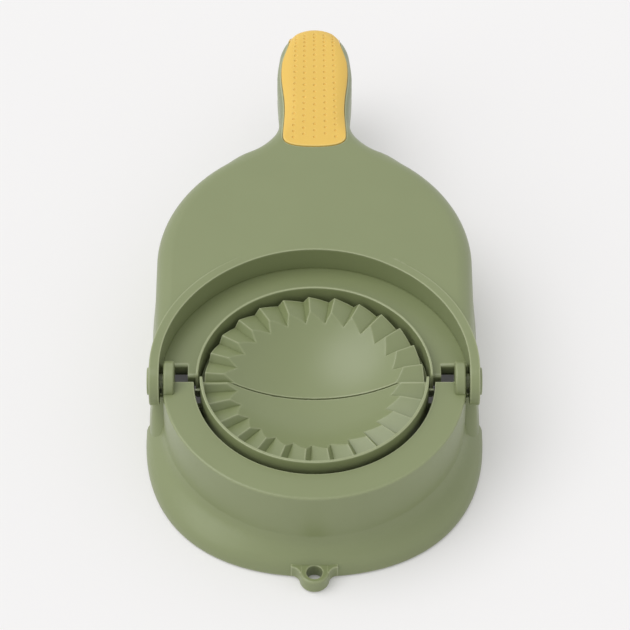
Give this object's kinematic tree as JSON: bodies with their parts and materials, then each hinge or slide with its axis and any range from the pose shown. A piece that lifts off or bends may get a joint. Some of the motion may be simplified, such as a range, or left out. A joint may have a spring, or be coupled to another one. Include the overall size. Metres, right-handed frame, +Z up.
{
  "type": "dumpling and empanada press",
  "caption": "Hinged dumpling and empanada press: round base with a hang tab, pleated mould halves, and a lid with a press disc and a soft-gripped handle.",
  "frame": {"origin": "on the table, below the middle of the whole outline", "axes": "+Z up, +Y from the mould towards the end of the handle, X along the hinge axis"},
  "size_m": [0.1148, 0.2262, 0.0418],
  "materials": {
    "green_plastic": "satin moulded plastic with a fine grain",
    "yellow_rubber": "matte soft grip with small dimples",
    "pad_rubber": "matte silicone",
    "steel_screws": "zinc-plated steel"
  },
  "bodies": {
    "base": {"base_shell": "green_plastic", "lower_press_plate": "green_plastic", "front_mould": "green_plastic", "front_mould_screws": "steel_screws", "foot_pad_front_right": "pad_rubber", "foot_pad_front_left": "pad_rubber", "foot_pad_rear_right": "pad_rubber", "foot_pad_rear_left": "pad_rubber"},
    "lid": {"lid_shell": "green_plastic", "rear_mould": "green_plastic", "rear_mould_screws": "steel_screws", "upper_press_plate": "green_plastic", "press_plate_screws": "steel_screws", "handle_back": "green_plastic", "handle_screws": "steel_screws", "handle_grip": "yellow_rubber", "hinge_pin_right": "green_plastic", "hinge_pin_left": "green_plastic"}
  },
  "joints": [
    {"name": "lid_hinge", "type": "hinge", "parent": "base", "child": "lid", "pos_m": [0, -0.04922, 0.033], "axis": [1, 0, 0], "range_deg": [0, 180]}
  ]
}
